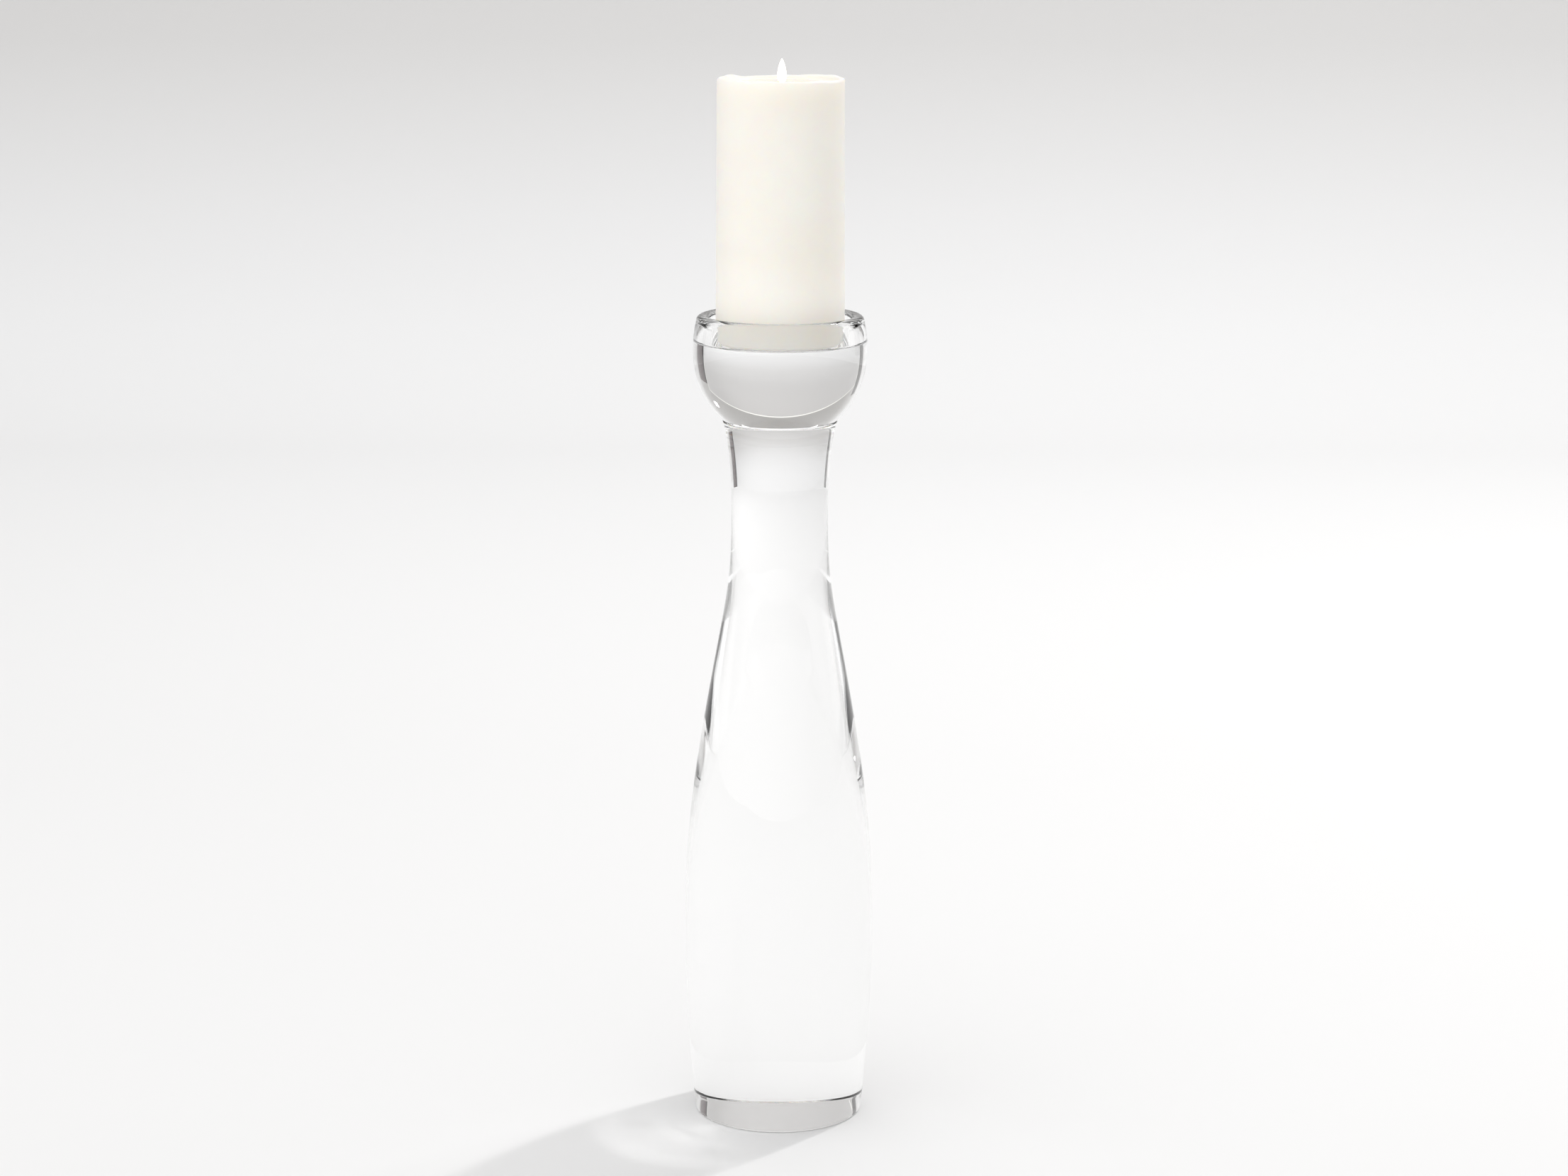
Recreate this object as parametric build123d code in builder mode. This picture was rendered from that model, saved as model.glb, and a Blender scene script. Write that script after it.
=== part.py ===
"""Tall candlestick of clear solid glass with a burning pillar candle standing in its cup.

Origin: centre of the base, on the table. +Z is up. Millimetres.
"""
import os

from build123d import *

os.makedirs("parts", exist_ok=True)

# Stem: one solid casting, wide at the belly and drawn in to a slim neck
base_radius = 49.3
base_bevel = 1.2
belly_radius = 55.4
belly_height = 102.0
shoulder_radius = 39.96
shoulder_height = 261.6
neck_radius = 27.9
neck_height = 362.0
stem_top_radius = 33.2
stem_height = 414.4
stem_top_bevel = 0.4

# Bonding film: clear adhesive between the flat top of the stem and the flat foot of the cup
film_thickness = 0.2
film_radius = 32.3

# Cup: a thick solid bowl, its widest place a little under the rim
cup_foot_radius = 33.0
cup_foot_bevel = 0.3
cup_radius = 50.1
cup_widest_height = 456.0
rim_height = 475.4
rim_radius = 48.0
rim_outer_rounding = 3.6
rim_inner_rounding = 3.4

# Recess: the shallow flat-floored hollow that the candle stands in
recess_radius = 40.8
recess_floor_height = 458.8
recess_corner_rounding = 1.6

# Candle: a nominal 3 x 6 inch pillar with a little mould draft, burnt down slightly
candle_radius = 37.0
candle_top_radius = 36.15
candle_length = 150.8
candle_foot_bevel = 1.2
candle_rim_rounding = 1.6
candle_lip_width = 3.2
crater_depth = 3.6
crater_floor_radius = 24.0

# Melted wax lying in the bottom of the crater
pool_depth = 1.2

# Wick and the pressed tin disc that holds its lower end
wick_radius = 1.25
wick_bore_clearance = 0.05
wick_above_pool = 3.0
wick_bend_radius = 4.0
wick_bend_angle = 35.0
clip_radius = 7.5
clip_thickness = 0.4
clip_collar_radius = 2.1
clip_collar_height = 6.0
clip_clearance = 0.1


cup_foot_height = stem_height + film_thickness
candle_foot_height = recess_floor_height
candle_top_height = candle_foot_height + candle_length
crater_floor_height = candle_top_height - crater_depth
pool_top_height = crater_floor_height + pool_depth
wick_foot_height = candle_foot_height + clip_clearance + clip_thickness


# Stem
with BuildPart() as stem:
    with BuildSketch(Plane.XZ):
        with BuildLine():
            Line((0, 0), (base_radius, 0))
            Bezier((base_radius, 0), (52.3, 24.6), (belly_radius, 77), (belly_radius, belly_height))
            Bezier(
                (belly_radius, belly_height),
                (belly_radius, 158.6),
                (53.2, 188.1),
                (shoulder_radius, shoulder_height),
            )
            Bezier(
                (shoulder_radius, shoulder_height),
                (30.8, 312.6),
                (neck_radius, 319.2),
                (neck_radius, neck_height),
            )
            Bezier(
                (neck_radius, neck_height),
                (neck_radius, 398.5),
                (32.4, 412.3),
                (stem_top_radius, stem_height),
            )
            Line((stem_top_radius, stem_height), (0, stem_height))
            Line((0, stem_height), (0, 0))
        make_face()
    revolve(axis=Axis.Z)
    flat_ends = stem.faces().filter_by(GeomType.PLANE).sort_by(Axis.Z)
    fillet(flat_ends[0].edges(), radius=base_bevel)
    chamfer(flat_ends[-1].edges(), length=stem_top_bevel)

# Bonding film
with BuildPart() as bond_film:
    with BuildSketch(Plane.XY.offset(stem_height)):
        Circle(film_radius)
    extrude(amount=film_thickness)

# Cup
with BuildPart() as cup:
    with BuildSketch(Plane.XZ):
        with BuildLine():
            Line((0, cup_foot_height), (cup_foot_radius, cup_foot_height))
            Bezier(
                (cup_foot_radius, cup_foot_height),
                (38.6, 419.6),
                (cup_radius, 432.5),
                (cup_radius, cup_widest_height),
            )
            Bezier(
                (cup_radius, cup_widest_height),
                (cup_radius, 464),
                (49.0, 469),
                (rim_radius, rim_height),
            )
            Line((rim_radius, rim_height), (0, rim_height))
            Line((0, rim_height), (0, cup_foot_height))
        make_face()
    revolve(axis=Axis.Z)
    flat_ends = cup.faces().filter_by(GeomType.PLANE).sort_by(Axis.Z)
    chamfer(flat_ends[0].edges(), length=cup_foot_bevel)
    fillet(flat_ends[-1].edges(), radius=rim_outer_rounding)
    with BuildSketch(Plane.XY.offset(rim_height)):
        Circle(recess_radius)
    extrude(amount=recess_floor_height - rim_height, mode=Mode.SUBTRACT)
    level_faces = cup.faces().filter_by(GeomType.PLANE).sort_by(Axis.Z)
    fillet(level_faces[1].edges(), radius=recess_corner_rounding)
    rim_inner_edge = level_faces[-1].edges().filter_by(GeomType.CIRCLE).sort_by(SortBy.RADIUS)[0]
    fillet(rim_inner_edge, radius=rim_inner_rounding)

# Wick: braided cotton, upright through the candle, its charred tip curled over
wick_straight_top = pool_top_height + wick_above_pool
with BuildPart() as wick:
    with BuildLine():
        upright = Line((0, 0, wick_foot_height), (0, 0, wick_straight_top))
        with BuildLine(Plane.XZ, mode=Mode.PRIVATE) as curl:
            CenterArc((wick_bend_radius, wick_straight_top), wick_bend_radius, 180, -wick_bend_angle)
        add(curl.line)
    with BuildSketch(Plane.XY.offset(wick_foot_height)):
        Circle(wick_radius)
    sweep()

# Wick clip: pressed tin disc with a short collar crimped round the wick
with BuildPart() as wick_clip:
    with BuildSketch(Plane.XY.offset(candle_foot_height + clip_clearance)):
        Circle(clip_radius)
    extrude(amount=clip_thickness)
    with BuildSketch(Plane.XY.offset(wick_foot_height)):
        Circle(clip_collar_radius)
        Circle(wick_radius + wick_bore_clearance, mode=Mode.SUBTRACT)
    extrude(amount=clip_collar_height)

# Candle wax: a cylinder with a shallow burnt crater on top
with BuildPart() as candle_wax:
    with Locations((0, 0, candle_foot_height)):
        Cone(candle_radius, candle_top_radius, candle_length, align=(Align.CENTER, Align.CENTER, Align.MIN))
    with BuildSketch(Plane.XZ):
        with BuildLine():
            crater_mouth = candle_top_radius - candle_lip_width
            Line((0, crater_floor_height), (crater_floor_radius, crater_floor_height))
            Bezier(
                (crater_floor_radius, crater_floor_height),
                (crater_mouth - 3, crater_floor_height),
                (crater_mouth - 1, candle_top_height - 2),
                (crater_mouth, candle_top_height),
            )
            Line((crater_mouth, candle_top_height), (0, candle_top_height))
            Line((0, candle_top_height), (0, crater_floor_height))
        make_face()
    revolve(axis=Axis.Z, mode=Mode.SUBTRACT)
    fillet(candle_wax.edges().filter_by(GeomType.CIRCLE).group_by(Axis.Z)[-1].sort_by(SortBy.RADIUS)[-1],
           radius=candle_rim_rounding)
    chamfer(candle_wax.edges().filter_by(GeomType.CIRCLE).group_by(Axis.Z)[0], length=candle_foot_bevel)
    with BuildSketch(Plane.XY.offset(candle_foot_height)):
        Circle(clip_radius + clip_clearance)
    extrude(amount=clip_thickness + 2 * clip_clearance, mode=Mode.SUBTRACT)
    with BuildSketch(Plane.XY.offset(candle_foot_height)):
        Circle(clip_collar_radius + clip_clearance)
    extrude(amount=clip_collar_height + clip_thickness + 2 * clip_clearance, mode=Mode.SUBTRACT)
    with BuildSketch(Plane.XY.offset(candle_foot_height)):
        Circle(wick_radius + wick_bore_clearance)
    extrude(amount=candle_length, mode=Mode.SUBTRACT)

# Melt pool: clear liquid wax around the wick
with BuildPart() as melt_pool:
    with BuildSketch(Plane.XY.offset(crater_floor_height)):
        Circle(crater_floor_radius)
        Circle(wick_radius + wick_bore_clearance, mode=Mode.SUBTRACT)
    extrude(amount=pool_depth)

pieces = {
    "stem": stem,
    "bond_film": bond_film,
    "cup": cup,
    "candle_wax": candle_wax,
    "melt_pool": melt_pool,
    "wick": wick,
    "wick_clip": wick_clip,
}
for name, piece in pieces.items():
    piece.part.label = name
    export_step(piece.part, f"parts/{name}.step")
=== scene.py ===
"""Glass candlestick with a burning pillar candle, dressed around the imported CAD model. Metres."""
import math

import bmesh
import bpy
from mathutils import Matrix, Vector, geometry


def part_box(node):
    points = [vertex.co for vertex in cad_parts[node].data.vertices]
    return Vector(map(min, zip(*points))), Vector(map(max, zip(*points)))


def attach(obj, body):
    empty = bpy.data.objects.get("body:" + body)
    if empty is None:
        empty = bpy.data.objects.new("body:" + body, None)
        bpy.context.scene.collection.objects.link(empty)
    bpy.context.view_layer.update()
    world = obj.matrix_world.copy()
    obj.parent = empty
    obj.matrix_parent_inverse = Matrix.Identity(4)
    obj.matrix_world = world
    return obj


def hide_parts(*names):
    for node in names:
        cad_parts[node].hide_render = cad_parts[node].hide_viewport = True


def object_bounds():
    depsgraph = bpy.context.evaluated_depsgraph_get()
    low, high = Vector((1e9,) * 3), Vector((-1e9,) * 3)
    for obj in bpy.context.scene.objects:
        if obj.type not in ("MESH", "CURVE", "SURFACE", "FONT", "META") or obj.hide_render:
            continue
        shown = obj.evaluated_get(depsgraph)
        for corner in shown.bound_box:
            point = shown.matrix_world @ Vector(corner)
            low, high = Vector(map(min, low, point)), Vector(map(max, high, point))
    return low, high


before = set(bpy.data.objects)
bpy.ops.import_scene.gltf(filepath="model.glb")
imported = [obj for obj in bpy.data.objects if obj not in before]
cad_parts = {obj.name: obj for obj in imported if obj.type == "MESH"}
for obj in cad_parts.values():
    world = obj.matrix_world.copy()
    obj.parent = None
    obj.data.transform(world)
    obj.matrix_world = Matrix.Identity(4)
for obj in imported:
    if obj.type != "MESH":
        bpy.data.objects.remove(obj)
cad_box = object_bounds()
scene = bpy.context.scene

# Camera: a long lens a little above the candle, about two metres away, tilted down at the whole piece.
# The body leans by a sixth of a degree, as a hand-levelled tripod head does.
camera_distance = 2.0087
camera_height = 0.7291
camera_tilt = 11.63
camera_lean = 0.165
camera_data = bpy.data.cameras.new("camera")
camera_data.sensor_width = 36.0
camera_data.lens = 81.0
camera_data.clip_start = 0.1
camera_data.clip_end = 60.0
camera = bpy.data.objects.new("camera", camera_data)
scene.collection.objects.link(camera)
camera.matrix_world = (
    Matrix.Translation((0.0026, -camera_distance, camera_height))
    @ Matrix.Rotation(math.radians(90.0 - camera_tilt), 4, "X")
    @ Matrix.Rotation(math.radians(camera_lean), 4, "Z")
)
scene.camera = camera
scene.view_settings.view_transform = "Standard"
scene.cycles.max_bounces = 24
scene.cycles.transmission_bounces = 24
scene.cycles.glossy_bounces = 12
scene.cycles.transparent_max_bounces = 24
scene.cycles.caustics_refractive = True
scene.cycles.caustics_reflective = True


# Floor and backdrop: one long sheet of matt white paper that runs back over the table and curls up
# into a low wall. The room behind is a warm mid grey, and daylight fills it softly from the front left.
floor_gap = 0.0004
paper_front = -5.0
paper_bend_start = 2.4
paper_bend_radius = 0.8
paper_top = 1.96
paper_left = -4.6
paper_right = 3.8
bend_steps = 24
paper_edge = [(paper_front, -floor_gap)]
for step in range(bend_steps + 1):
    turn = math.radians(90.0 * step / bend_steps)
    paper_edge.append((
        paper_bend_start + paper_bend_radius * math.sin(turn),
        -floor_gap + paper_bend_radius * (1.0 - math.cos(turn)),
    ))
paper_edge.append((paper_bend_start + paper_bend_radius, paper_top))

paper_mesh = bpy.data.meshes.new("paper_sweep")
paper_corners = []
paper_faces = []
for along, up in paper_edge:
    paper_corners.append((paper_left, along, up))
    paper_corners.append((paper_right, along, up))
for step in range(len(paper_edge) - 1):
    paper_faces.append((2 * step, 2 * step + 1, 2 * step + 3, 2 * step + 2))
paper_mesh.from_pydata(paper_corners, [], paper_faces)
for face in paper_mesh.polygons:
    face.use_smooth = True
paper_sweep = bpy.data.objects.new("paper_sweep", paper_mesh)
paper_sweep.cycles.is_caustics_receiver = True
scene.collection.objects.link(paper_sweep)


def add_node(material, kind, **settings):
    """A node of this kind with its settings or input values filled in."""
    node = material.node_tree.nodes.new(kind)
    for key, value in settings.items():
        if hasattr(node, key):
            setattr(node, key, value)
        else:
            node.inputs[key.replace("_", " ")].default_value = value
    return node


def shader(name):
    """A new material and its Principled shader."""
    material = bpy.data.materials.new(name)
    material.use_nodes = True
    return material, material.node_tree.nodes["Principled BSDF"]


def colour_ramp(material, factor, stops):
    """A colour ramp on this factor; each stop is a place from 0 to 1 and a colour."""
    node = material.node_tree.nodes.new("ShaderNodeValToRGB")
    while len(node.color_ramp.elements) < len(stops):
        node.color_ramp.elements.new(0.5)
    for element, (place, colour) in zip(node.color_ramp.elements, stops):
        element.position = place
        element.color = (*colour, 1.0)
    material.node_tree.links.new(factor, node.inputs["Fac"])
    return node


paper, paper_shader = shader("matt_paper")
paper_shader.inputs["Roughness"].default_value = 0.9
paper_shader.inputs["Specular IOR Level"].default_value = 0.1
# Painted shade: the paper's colour is painted darker up the wall and further back across the floor, standing
# in for the light falling off there.
paper_place = add_node(paper, "ShaderNodeTexCoord")
paper_shade_run = add_node(paper, "ShaderNodeVectorMath", operation="DOT_PRODUCT")
paper_shade_run.inputs[1].default_value = (0.0, 0.05, 0.5)
paper.node_tree.links.new(paper_place.outputs["Object"], paper_shade_run.inputs[0])
paper_painted_shade = colour_ramp(paper, paper_shade_run.outputs["Value"], [
    (0.0, (0.850, 0.850, 0.851)),
    (0.04, (0.800, 0.800, 0.801)),
    (0.19, (0.736, 0.736, 0.738)),
    (0.27, (0.684, 0.682, 0.683)),
    (0.395, (0.590, 0.584, 0.579)),
    (0.66, (0.540, 0.531, 0.525)),
    (1.0, (0.516, 0.505, 0.498)),
])
paper.node_tree.links.new(paper_painted_shade.outputs["Color"], paper_shader.inputs["Base Color"])
paper_mesh.materials.append(paper)


# Battens: pale painted strips that stiffen the top and side edges of the paper wall.
batten_width = 0.07
wall_depth = paper_bend_start + paper_bend_radius - 0.01
batten_runs = [
    (paper_left, paper_right, paper_top, paper_top + batten_width),
    (paper_left - batten_width, paper_left, paper_bend_radius * 0.5, paper_top + batten_width),
    (paper_right, paper_right + batten_width, paper_bend_radius * 0.5, paper_top + batten_width),
]
batten_corners = []
batten_faces = []
for from_side, to_side, from_height, to_height in batten_runs:
    first = len(batten_corners)
    batten_corners += [
        (from_side, wall_depth, from_height),
        (to_side, wall_depth, from_height),
        (to_side, wall_depth, to_height),
        (from_side, wall_depth, to_height),
    ]
    batten_faces.append((first, first + 1, first + 2, first + 3))
batten_mesh = bpy.data.meshes.new("battens")
batten_mesh.from_pydata(batten_corners, [], batten_faces)
battens = bpy.data.objects.new("battens", batten_mesh)
scene.collection.objects.link(battens)
paint, paint_shader = shader("pale_paint")
paint_shader.inputs["Roughness"].default_value = 0.7
paint_grain = add_node(paint, "ShaderNodeTexNoise", Scale=6.0)
paint_tone = colour_ramp(paint, paint_grain.outputs["Fac"], [
    (0.3, (0.84, 0.83, 0.79)),
    (0.7, (0.90, 0.89, 0.85)),
])
paint.node_tree.links.new(paint_tone.outputs["Color"], paint_shader.inputs["Base Color"])
batten_mesh.materials.append(paint)

room = bpy.data.worlds.new("room")
room.use_nodes = True
scene.world = room
room_way = room.node_tree.nodes.new("ShaderNodeTexCoord")
room_depth = room.node_tree.nodes.new("ShaderNodeSeparateXYZ")
room.node_tree.links.new(room_way.outputs["Generated"], room_depth.inputs[0])
room_tone = colour_ramp(room, room_depth.outputs["Y"], [
    (0.0, (0.64, 0.64, 0.64)),
    (0.34, (0.60, 0.59, 0.585)),
    (0.44, (0.41, 0.398, 0.385)),
])
daylight_way = add_node(room, "ShaderNodeVectorMath", operation="DOT_PRODUCT")
daylight_way.inputs[1].default_value = (-0.62, -0.77, 0.17)
room.node_tree.links.new(room_way.outputs["Generated"], daylight_way.inputs[0])
daylight_tone = colour_ramp(room, daylight_way.outputs["Value"], [
    (0.0, (0.0, 0.0, 0.0)),
    (1.0, (0.75, 0.75, 0.75)),
])
room_light = add_node(room, "ShaderNodeVectorMath", operation="ADD")
room.node_tree.links.new(room_tone.outputs["Color"], room_light.inputs[0])
room.node_tree.links.new(daylight_tone.outputs["Color"], room_light.inputs[1])
room.node_tree.links.new(room_light.outputs["Vector"], room.node_tree.nodes["Background"].inputs["Color"])


# Dark flags: two black cloths on stands, one each side of the backdrop, as used to draw thin dark
# lines down the edges of clear glass. The camera does not see them directly.
flag_distance = 3.1
flags = [
    ("flag_right", 52.5, 64.0, 1.19, (0.055, 0.036, 0.036)),
    ("flag_right_inner", 50.2, 52.5, 1.19, (0.010, 0.006, 0.006)),
    ("flag_left", -64.0, -56.0, 1.75, (0.11, 0.107, 0.104)),
]
for flag_name, from_angle, to_angle, flag_top, cloth_colour in flags:
    flag_mesh = bpy.data.meshes.new(flag_name)
    flag_ends = []
    for angle in (from_angle, to_angle):
        flag_ends.append((
            flag_distance * math.sin(math.radians(angle)),
            flag_distance * math.cos(math.radians(angle)),
        ))
    flag_mesh.from_pydata(
        [(*flag_ends[0], 0.0), (*flag_ends[1], 0.0), (*flag_ends[1], flag_top), (*flag_ends[0], flag_top)],
        [],
        [(0, 1, 2, 3)],
    )
    flag = bpy.data.objects.new(flag_name, flag_mesh)
    scene.collection.objects.link(flag)
    flag.visible_camera = False
    flag.visible_shadow = False
    flag.visible_diffuse = False
    cloth, cloth_shader = shader(flag_name + "_cloth")
    cloth_shader.inputs["Roughness"].default_value = 1.0
    cloth_shader.inputs["Specular IOR Level"].default_value = 0.0
    cloth_weave = add_node(cloth, "ShaderNodeTexNoise", Scale=40.0)
    cloth_tone = colour_ramp(cloth, cloth_weave.outputs["Fac"], [
        (0.3, [0.8 * part for part in cloth_colour]),
        (0.7, [1.2 * part for part in cloth_colour]),
    ])
    cloth.node_tree.links.new(cloth_tone.outputs["Color"], cloth_shader.inputs["Base Color"])
    flag_mesh.materials.append(cloth)


# Studio lights: a small key in a larger dim reflector, high up behind on the right, which throws the
# shadow forward and to the left, a bare lamp at the backdrop's corner, and a long soft box behind.
object_middle = Vector((0.0, 0.0, (cad_box[0][2] + cad_box[1][2]) / 2.0))
lamps = [
    ("key_lamp", (1.55, 1.5, 3.0), (0.12, 0.12), 21.0, (1.0, 0.99, 0.982)),
    ("key_glow", (1.55, 1.5, 3.0), (0.30, 0.30), 13.0, (1.0, 0.99, 0.982)),
    ("corner_lamp", (1.9, 1.6, 1.75), (0.18, 0.18), 4.0, (1.0, 1.0, 1.0)),
    ("rear_box", (0.0, 1.95, 3.45), (3.2, 1.4), 22.0, (1.0, 1.0, 1.0)),
]
for lamp_name, place, lamp_size, watts, tint in lamps:
    lamp_data = bpy.data.lights.new(lamp_name, "AREA")
    lamp_data.shape = "RECTANGLE"
    lamp_data.size, lamp_data.size_y = lamp_size
    lamp_data.energy = watts
    lamp_data.color = tint
    lamp = bpy.data.objects.new(lamp_name, lamp_data)
    scene.collection.objects.link(lamp)
    lamp.location = place
    lamp.rotation_euler = (object_middle - Vector(place)).to_track_quat("-Z", "Y").to_euler()
bpy.data.lights["key_glow"].cycles.is_caustics_light = True


# Stem: one solid casting of clear soda-lime glass, pressed in a mould and fire-polished, with its
# underside and its top ground flat and the edges broken. The top is bonded to the cup.
millimetre = 0.001
stem_low, stem_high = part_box("stem")
stem_top = stem_high[2] / millimetre
belly_radius = (stem_high[0] - stem_low[0]) / 2.0 / millimetre
base_radius = 49.3
base_rounding = 1.2
neck_radius = 27.9
neck_height = 362.0
stem_top_radius = 33.2
stem_top_bevel = 0.4
flat_margin = 0.4
turn_steps = 384


def swept(start, first_pull, second_pull, end, steps):
    """The points after the start along a curve of the outline, as (radius, height)."""
    corners = [Vector((*corner, 0.0)) for corner in (start, first_pull, second_pull, end)]
    return [(point.x, point.y) for point in geometry.interpolate_bezier(*corners, steps + 1)[1:]]


def rounded(centre, radius, from_angle, to_angle, steps):
    """The points along a rounded corner of the outline, as (radius, height)."""
    points = []
    for step in range(steps + 1):
        angle = math.radians(from_angle + (to_angle - from_angle) * step / steps)
        points.append((centre[0] + radius * math.cos(angle), centre[1] + radius * math.sin(angle)))
    return points


def turned(name, outline, bonded_height=None):
    """A round piece turned from an outline in millimetres, lowest and highest points on the axis.
    Flat faces at the bonded height get the second material."""
    turned_form = bmesh.new()
    rings = []
    for radius, height in outline:
        if radius < 1e-6:
            rings.append([turned_form.verts.new((0.0, 0.0, height * millimetre))])
            continue
        ring = []
        for step in range(turn_steps):
            angle = 2.0 * math.pi * step / turn_steps
            ring.append(turned_form.verts.new((
                radius * millimetre * math.cos(angle),
                radius * millimetre * math.sin(angle),
                height * millimetre,
            )))
        rings.append(ring)
    for place in range(len(rings) - 1):
        below, above = rings[place], rings[place + 1]
        bonded = (
            bonded_height is not None
            and abs(outline[place][1] - bonded_height) < 1e-4
            and abs(outline[place + 1][1] - bonded_height) < 1e-4
        )
        for step in range(turn_steps):
            after = (step + 1) % turn_steps
            if len(below) == 1:
                face = turned_form.faces.new((below[0], above[after], above[step]))
            elif len(above) == 1:
                face = turned_form.faces.new((below[step], below[after], above[0]))
            else:
                face = turned_form.faces.new((below[step], below[after], above[after], above[step]))
            face.smooth = True
            face.material_index = 1 if bonded else 0
    bmesh.ops.recalc_face_normals(turned_form, faces=turned_form.faces)
    for edge in turned_form.edges:
        if len(edge.link_faces) == 2 and edge.calc_face_angle(0.0) > math.radians(28.0):
            edge.smooth = False
    mesh = bpy.data.meshes.new(name)
    turned_form.to_mesh(mesh)
    turned_form.free()
    piece = bpy.data.objects.new(name, mesh)
    scene.collection.objects.link(piece)
    return piece


glass, glass_shader = shader("clear_glass")
glass_shader.inputs["Base Color"].default_value = (0.997, 0.999, 0.998, 1.0)
glass_shader.inputs["IOR"].default_value = 1.52
glass_shader.inputs["Transmission Weight"].default_value = 1.0
glass_place = add_node(glass, "ShaderNodeTexCoord")
glass_waves = add_node(glass, "ShaderNodeTexNoise", Scale=38.0, Detail=2.0, Roughness=0.45)
glass_bump = add_node(glass, "ShaderNodeBump", Strength=0.25, Distance=0.00002)
glass_smears = add_node(glass, "ShaderNodeTexNoise", Scale=90.0, Detail=6.0, Roughness=0.6)
glass.node_tree.links.new(glass_place.outputs["Object"], glass_waves.inputs["Vector"])
glass.node_tree.links.new(glass_place.outputs["Object"], glass_smears.inputs["Vector"])
glass.node_tree.links.new(glass_waves.outputs["Fac"], glass_bump.inputs["Height"])
glass.node_tree.links.new(glass_bump.outputs["Normal"], glass_shader.inputs["Normal"])
glass_polish = colour_ramp(glass, glass_smears.outputs["Fac"], [
    (0.45, (0.0, 0.0, 0.0)),
    (0.75, (0.02, 0.02, 0.02)),
])
glass.node_tree.links.new(glass_polish.outputs["Color"], glass_shader.inputs["Roughness"])

contact, contact_shader = shader("bonded_contact")
contact_shader.inputs["Alpha"].default_value = 0.0

stem_outline = [(0.0, 0.0), (base_radius - base_rounding - flat_margin, 0.0)]
stem_outline += rounded((base_radius - base_rounding, base_rounding), base_rounding, -90.0, 6.0, 8)
stem_outline += swept(stem_outline[-1], (52.3, 24.6), (belly_radius, 77.0), (belly_radius, 102.0), 70)
stem_outline += swept(stem_outline[-1], (belly_radius, 158.6), (53.2, 188.1), (39.96, 261.6), 90)
stem_outline += swept(stem_outline[-1], (30.8, 312.6), (neck_radius, 319.2), (neck_radius, neck_height), 70)
stem_outline += swept(
    stem_outline[-1],
    (neck_radius, 398.5),
    (32.3, 412.0),
    (stem_top_radius - 0.15, stem_top - stem_top_bevel),
    60,
)
stem_outline += [
    (stem_top_radius - stem_top_bevel, stem_top),
    (stem_top_radius - stem_top_bevel - flat_margin, stem_top),
    (0.0, stem_top),
]
stem = turned("stem_glass", stem_outline, bonded_height=stem_top)
stem.data.materials.append(glass)
stem.data.materials.append(contact)
stem.cycles.is_caustics_caster = True
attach(stem, "candlestick")
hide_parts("stem")


# Cup: a thick bowl of the same glass, pressed, with the flat-floored recess plunged into it and a
# fire-polished rim. Its flat foot is bonded to the stem, so only a fine line shows at the joint.
cup_low, cup_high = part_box("cup")
cup_foot = cup_low[2] / millimetre
rim_height = cup_high[2] / millimetre
cup_radius = (cup_high[0] - cup_low[0]) / 2.0 / millimetre
wax_low, wax_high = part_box("candle_wax")
cup_widest_height = 456.0
cup_foot_radius = 33.0
cup_foot_bevel = 0.3
rim_radius = 48.0
rim_outer_rounding = 3.6
rim_inner_rounding = 3.4
recess_radius = 40.8
recess_floor = wax_low[2] / millimetre
recess_corner = 1.6
rim_spread = 0.35
rim_steps = 14

cup_outline = [
    (0.0, cup_foot),
    (cup_foot_radius - cup_foot_bevel - flat_margin, cup_foot),
    (cup_foot_radius - cup_foot_bevel, cup_foot),
    (cup_foot_radius, cup_foot + cup_foot_bevel),
]
cup_outline += swept(cup_outline[-1], (38.6, 419.7), (cup_radius, 432.5), (cup_radius, cup_widest_height), 90)
cup_outline += swept(
    cup_outline[-1],
    (cup_radius, 464.0),
    (49.1, 467.5),
    (rim_radius + rim_spread, rim_height - rim_outer_rounding),
    40,
)
cup_outline += rounded(
    (rim_radius - rim_outer_rounding + rim_spread, rim_height - rim_outer_rounding),
    rim_outer_rounding,
    6.0,
    90.0,
    rim_steps,
)
cup_outline += rounded(
    (recess_radius + rim_inner_rounding, rim_height - rim_inner_rounding),
    rim_inner_rounding,
    90.0,
    180.0,
    rim_steps,
)
cup_outline += rounded(
    (recess_radius - recess_corner, recess_floor + recess_corner), recess_corner, 0.0, -90.0, 8
)
cup_outline += [(recess_radius - recess_corner - flat_margin, recess_floor), (0.0, recess_floor)]
cup = turned("cup_glass", cup_outline, bonded_height=cup_foot)
cup.data.materials.append(glass)
cup.data.materials.append(contact)
cup.cycles.is_caustics_caster = True
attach(cup, "candlestick")
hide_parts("cup")


# Bonding film: clear ultraviolet-cured adhesive between stem and cup, thin as paper, with a few
# pin-prick bubbles caught in it.
adhesive, adhesive_shader = shader("clear_adhesive")
adhesive_shader.inputs["Base Color"].default_value = (0.95, 0.95, 0.93, 1.0)
adhesive_shader.inputs["Roughness"].default_value = 0.2
adhesive_place = add_node(adhesive, "ShaderNodeTexCoord")
bubbles = add_node(adhesive, "ShaderNodeTexVoronoi", Scale=420.0)
adhesive.node_tree.links.new(adhesive_place.outputs["Object"], bubbles.inputs["Vector"])
bubble_edge = colour_ramp(adhesive, bubbles.outputs["Distance"], [
    (0.10, (0.45, 0.45, 0.45)),
    (0.16, (0.0, 0.0, 0.0)),
])
adhesive.node_tree.links.new(bubble_edge.outputs["Color"], adhesive_shader.inputs["Alpha"])
bond_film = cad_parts["bond_film"]
for slot in bond_film.material_slots:
    slot.material = adhesive


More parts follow.
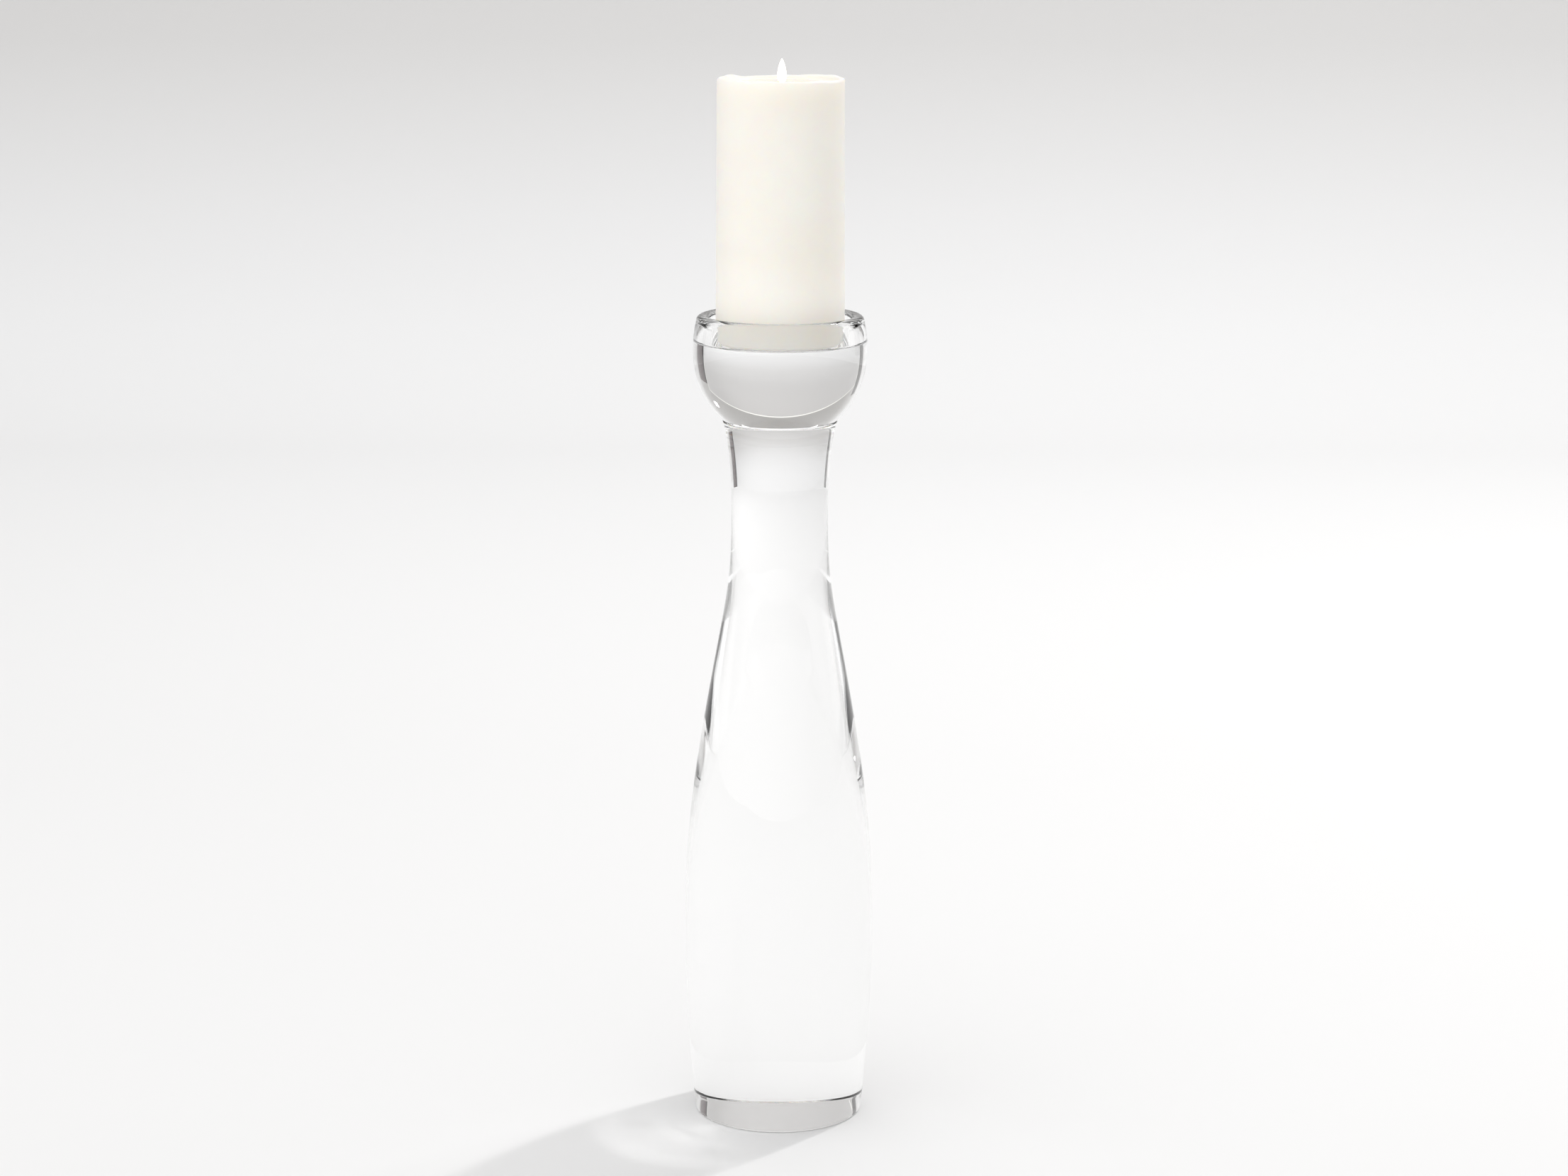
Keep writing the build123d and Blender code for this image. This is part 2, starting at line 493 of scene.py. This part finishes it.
# Candle: a cast pillar of ivory paraffin wax, drawn from its mould with a slight taper. It has burnt
# for a while, so a shallow crater has sunk inside a thin soft lip that is uneven at the top. The foot
# glows faintly, which stands in for light that the thick bowl gathers onto it.
wax_foot = wax_low[2] / millimetre + 0.1
wax_top = wax_high[2] / millimetre
wax_foot_radius = (wax_high[0] - wax_low[0]) / 2.0 / millimetre
wax_top_radius = 36.15
wax_foot_bevel = 1.2
lip_rounding = 1.6
lip_width = 3.2
crater_depth = 3.6
crater_floor_radius = 24.0
crater_floor = wax_top - crater_depth
crater_mouth = wax_top_radius - lip_width
wax_outline = [
    (0.0, wax_foot),
    (wax_foot_radius - wax_foot_bevel - flat_margin, wax_foot),
    (wax_foot_radius - wax_foot_bevel, wax_foot),
    (wax_foot_radius, wax_foot + wax_foot_bevel),
]
wax_outline += swept(
    wax_outline[-1],
    (36.7, wax_foot + 50.0),
    (36.4, wax_foot + 100.0),
    (wax_top_radius, wax_top - lip_rounding),
    90,
)
wax_outline += rounded((wax_top_radius - lip_rounding, wax_top - lip_rounding), lip_rounding, 8.0, 90.0, 8)
wax_outline += swept(
    (crater_mouth, wax_top),
    (crater_mouth - 1.0, wax_top - 2.0),
    (crater_mouth - 3.0, crater_floor),
    (crater_floor_radius, crater_floor),
    16,
)
wax_outline += [(18.0, crater_floor), (12.0, crater_floor), (6.0, crater_floor), (0.0, crater_floor)]
candle = turned("candle_wax", wax_outline)


def lip_rise(angle):
    """How far the melted lip stands above or below its mean height at this angle, in millimetres."""
    slow = 0.30 * math.sin(2.0 * angle + 0.7) + 0.22 * math.sin(3.0 * angle - 1.1)
    quick = 0.14 * math.sin(7.0 * angle + 2.0) + 0.09 * math.sin(13.0 * angle + 0.4)
    left_lump = 0.75 * math.exp(-((math.remainder(angle - 2.55, 2.0 * math.pi) / 0.20) ** 2))
    right_lump = 0.60 * math.exp(-((math.remainder(angle - 0.45, 2.0 * math.pi) / 0.16) ** 2))
    return slow + quick + left_lump + right_lump


for vertex in candle.data.vertices:
    radius = math.hypot(vertex.co.x, vertex.co.y) / millimetre
    height = vertex.co.z / millimetre
    if height > wax_top - 5.0 and radius > crater_floor_radius:
        angle = math.atan2(vertex.co.y, vertex.co.x)
        near_top = min(1.0, (height - (wax_top - 5.0)) / 4.0)
        near_lip = min(1.0, (radius - crater_floor_radius) / 6.0)
        vertex.co.z += lip_rise(angle) * near_top * near_lip * millimetre
        pull = 1.0 + 0.004 * math.sin(5.0 * angle + 1.0) * near_top
        vertex.co.x *= pull
        vertex.co.y *= pull

wax, wax_shader = shader("ivory_wax")
wax_shader.inputs["Subsurface Weight"].default_value = 0.65
wax_shader.inputs["Subsurface Scale"].default_value = 0.012
wax_shader.inputs["Subsurface Radius"].default_value = (1.0, 0.72, 0.45)
wax_shader.inputs["IOR"].default_value = 1.44
wax_shader.inputs["Specular IOR Level"].default_value = 0.35
wax_place = add_node(wax, "ShaderNodeTexCoord")
wax_cloud = add_node(wax, "ShaderNodeTexNoise", Scale=22.0, Detail=4.0, Roughness=0.55)
wax.node_tree.links.new(wax_place.outputs["Object"], wax_cloud.inputs["Vector"])
wax_tone = colour_ramp(wax, wax_cloud.outputs["Fac"], [
    (0.30, (0.928, 0.877, 0.808)),
    (0.70, (0.958, 0.917, 0.858)),
])
wax.node_tree.links.new(wax_tone.outputs["Color"], wax_shader.inputs["Base Color"])
glow_height = 0.055
wax_height = add_node(wax, "ShaderNodeSeparateXYZ")
wax.node_tree.links.new(wax_place.outputs["Object"], wax_height.inputs[0])
bowl_reach = add_node(wax, "ShaderNodeMapRange")
bowl_reach.inputs["From Min"].default_value = wax_low[2]
bowl_reach.inputs["From Max"].default_value = wax_low[2] + glow_height
wax.node_tree.links.new(wax_height.outputs["Z"], bowl_reach.inputs["Value"])
bowl_glow = colour_ramp(wax, bowl_reach.outputs["Result"], [
    (0.0, (0.100, 0.095, 0.082)),
    (1.0, (0.0, 0.0, 0.0)),
])
wax.node_tree.links.new(bowl_glow.outputs["Color"], wax_shader.inputs["Emission Color"])
wax_shader.inputs["Emission Strength"].default_value = 1.0
wax_bloom = add_node(wax, "ShaderNodeTexNoise", Scale=140.0, Detail=5.0, Roughness=0.6)
wax.node_tree.links.new(wax_place.outputs["Object"], wax_bloom.inputs["Vector"])
wax_polish = colour_ramp(wax, wax_bloom.outputs["Fac"], [
    (0.30, (0.36, 0.36, 0.36)),
    (0.75, (0.52, 0.52, 0.52)),
])
wax.node_tree.links.new(wax_polish.outputs["Color"], wax_shader.inputs["Roughness"])
wax_bump = add_node(wax, "ShaderNodeBump", Strength=0.25, Distance=0.0002)
wax.node_tree.links.new(wax_bloom.outputs["Fac"], wax_bump.inputs["Height"])
wax.node_tree.links.new(wax_bump.outputs["Normal"], wax_shader.inputs["Normal"])
candle.data.materials.append(wax)
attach(candle, "candle")
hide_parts("candle_wax")


# Melt pool: clear hot wax lying in the bottom of the crater. It climbs a little where it meets the
# crater's wall and the wick.
pool_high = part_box("melt_pool")[1]
pool_top = pool_high[2] / millimetre
pool_outline = [(0.0, crater_floor + 0.05), (crater_floor_radius - 1.0, crater_floor + 0.05)]
pool_outline += [(crater_floor_radius + 2.2, pool_top - 0.30), (crater_floor_radius + 2.6, pool_top)]
pool_outline += swept(
    (crater_floor_radius + 2.6, pool_top + 0.12),
    (crater_floor_radius + 1.2, pool_top),
    (crater_floor_radius, pool_top),
    (crater_floor_radius - 3.0, pool_top),
    8,
)
pool_outline += [(12.0, pool_top), (3.5, pool_top), (2.0, pool_top + 0.15), (0.0, pool_top + 0.4)]
melt_pool = turned("melt_pool", pool_outline)
liquid, liquid_shader = shader("liquid_wax")
liquid_shader.inputs["Roughness"].default_value = 0.06
liquid_shader.inputs["Transmission Weight"].default_value = 0.25
liquid_shader.inputs["IOR"].default_value = 1.43
liquid_place = add_node(liquid, "ShaderNodeTexCoord")
liquid_swirl = add_node(liquid, "ShaderNodeTexNoise", Scale=60.0, Detail=2.0)
liquid.node_tree.links.new(liquid_place.outputs["Object"], liquid_swirl.inputs["Vector"])
liquid_tone = colour_ramp(liquid, liquid_swirl.outputs["Fac"], [
    (0.30, (0.90, 0.86, 0.76)),
    (0.70, (0.94, 0.91, 0.83)),
])
liquid.node_tree.links.new(liquid_tone.outputs["Color"], liquid_shader.inputs["Base Color"])
melt_pool.data.materials.append(liquid)
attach(melt_pool, "candle")
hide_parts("melt_pool")


# Wick: flat-braided cotton cord, waxed, upright through the candle. The last few millimetres are
# charred black and curl over in the flame.
wick_low, wick_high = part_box("wick")
wick_radius = (wick_high[1] - wick_low[1]) / 2.0
wick_curl = 0.004
wick_straight_top = pool_high[2] + 0.003
strand_radius = wick_radius * 0.52
strand_turn = 0.0052
strand_sides = 10
strand_step = 0.00045
braid = bmesh.new()
wick_length = wick_straight_top - wick_low[2] + wick_curl * math.radians(33.0)
strand_rings = int(wick_length / strand_step)
for strand in range(3):
    rings = []
    for place in range(strand_rings + 1):
        run = wick_length * place / strand_rings
        twist = 2.0 * math.pi * (run / strand_turn + strand / 3.0)
        beyond = max(0.0, run - (wick_straight_top - wick_low[2]))
        curl_angle = beyond / wick_curl
        middle = Vector((
            wick_curl * (1.0 - math.cos(curl_angle)),
            0.0,
            wick_low[2] + min(run, wick_straight_top - wick_low[2]) + wick_curl * math.sin(curl_angle),
        ))
        across = Vector((math.cos(curl_angle), 0.0, -math.sin(curl_angle)))
        aside = Vector((0.0, 1.0, 0.0))
        taper = 1.0 - 0.35 * max(0.0, min(1.0, (run - (wick_length - 0.002)) / 0.002))
        offset = (wick_radius - strand_radius) * taper
        centre = middle + across * (offset * math.cos(twist)) + aside * (offset * math.sin(twist))
        ring = []
        for side in range(strand_sides):
            angle = 2.0 * math.pi * side / strand_sides
            spoke = across * math.cos(angle) + aside * math.sin(angle)
            ring.append(braid.verts.new(centre + spoke * (strand_radius * taper)))
        rings.append(ring)
    for place in range(strand_rings):
        for side in range(strand_sides):
            after = (side + 1) % strand_sides
            face = braid.faces.new((
                rings[place][side], rings[place][after], rings[place + 1][after], rings[place + 1][side]
            ))
            face.smooth = True
    braid.faces.new(list(reversed(rings[0])))
    braid.faces.new(rings[-1])
wick_mesh = bpy.data.meshes.new("wick_braid")
braid.to_mesh(wick_mesh)
braid.free()
wick = bpy.data.objects.new("wick_braid", wick_mesh)
scene.collection.objects.link(wick)
cotton, cotton_shader = shader("wick_cotton")
cotton_shader.inputs["Roughness"].default_value = 0.85
cotton_place = add_node(cotton, "ShaderNodeTexCoord")
cotton_height = add_node(cotton, "ShaderNodeSeparateXYZ")
cotton.node_tree.links.new(cotton_place.outputs["Object"], cotton_height.inputs[0])
char_reach = add_node(cotton, "ShaderNodeMapRange")
char_reach.inputs["From Min"].default_value = pool_high[2] + 0.0002
char_reach.inputs["From Max"].default_value = pool_high[2] + 0.0022
cotton.node_tree.links.new(cotton_height.outputs["Z"], char_reach.inputs["Value"])
cotton_tone = colour_ramp(cotton, char_reach.outputs["Result"], [
    (0.0, (0.62, 0.56, 0.45)),
    (0.5, (0.16, 0.11, 0.08)),
    (1.0, (0.015, 0.012, 0.010)),
])
cotton.node_tree.links.new(cotton_tone.outputs["Color"], cotton_shader.inputs["Base Color"])
cotton_fibres = add_node(cotton, "ShaderNodeTexNoise", Scale=2600.0, Detail=3.0)
cotton.node_tree.links.new(cotton_place.outputs["Object"], cotton_fibres.inputs["Vector"])
cotton_bump = add_node(cotton, "ShaderNodeBump", Strength=0.6, Distance=0.0001)
cotton.node_tree.links.new(cotton_fibres.outputs["Fac"], cotton_bump.inputs["Height"])
cotton.node_tree.links.new(cotton_bump.outputs["Normal"], cotton_shader.inputs["Normal"])
wick_mesh.materials.append(cotton)
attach(wick, "candle")
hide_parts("wick")


# Wick clip: a pressed disc of tinned steel with a collar crimped round the wick, sunk in the foot of
# the candle, where it keeps the wick upright.
tin, tin_shader = shader("tinned_steel")
tin_shader.inputs["Metallic"].default_value = 1.0
tin_place = add_node(tin, "ShaderNodeTexCoord")
tin_spangle = add_node(tin, "ShaderNodeTexVoronoi", Scale=500.0)
tin.node_tree.links.new(tin_place.outputs["Object"], tin_spangle.inputs["Vector"])
tin_tone = colour_ramp(tin, tin_spangle.outputs["Distance"], [
    (0.0, (0.66, 0.66, 0.64)),
    (1.0, (0.78, 0.78, 0.76)),
])
tin.node_tree.links.new(tin_tone.outputs["Color"], tin_shader.inputs["Base Color"])
tin_polish = colour_ramp(tin, tin_spangle.outputs["Distance"], [
    (0.0, (0.26, 0.26, 0.26)),
    (1.0, (0.40, 0.40, 0.40)),
])
tin.node_tree.links.new(tin_polish.outputs["Color"], tin_shader.inputs["Roughness"])
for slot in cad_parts["wick_clip"].material_slots:
    slot.material = tin


# Flame: a small steady tongue of burning wax vapour that stands on the wick, nearly white at its
# heart and warmer at its edge. It has no weight or solid, so it is modelled here only.
flame_foot = pool_high[2] / millimetre - 0.1
flame_tip = 620.7
flame_radius = 2.5
flame_shift = 0.0006
flame_outline = [(0.0, flame_foot)]
flame_outline += swept(
    flame_outline[-1],
    (1.9, flame_foot),
    (flame_radius, flame_foot + 1.4),
    (flame_radius, flame_foot + 4.0),
    12,
)
flame_outline += swept(
    flame_outline[-1], (flame_radius, flame_foot + 8.0), (1.0, flame_tip - 1.4), (0.0, flame_tip), 24
)
flame = turned("flame", flame_outline)
for vertex in flame.data.vertices:
    vertex.co.x += flame_shift
fire, fire_shader = shader("candle_flame")
fire_shader.inputs["Base Color"].default_value = (0.0, 0.0, 0.0, 1.0)
fire_shader.inputs["Roughness"].default_value = 1.0
fire_shader.inputs["Specular IOR Level"].default_value = 0.0
fire_shader.inputs["Emission Strength"].default_value = 4.0
fire_place = add_node(fire, "ShaderNodeTexCoord")
fire_height = add_node(fire, "ShaderNodeSeparateXYZ")
fire.node_tree.links.new(fire_place.outputs["Generated"], fire_height.inputs[0])
fire_tone = colour_ramp(fire, fire_height.outputs["Z"], [
    (0.0, (1.0, 0.86, 0.62)),
    (0.35, (1.0, 0.95, 0.80)),
    (0.8, (1.0, 0.93, 0.78)),
    (1.0, (1.0, 0.80, 0.55)),
])
fire.node_tree.links.new(fire_tone.outputs["Color"], fire_shader.inputs["Emission Color"])
flame.data.materials.append(fire)
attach(flame, "candle")
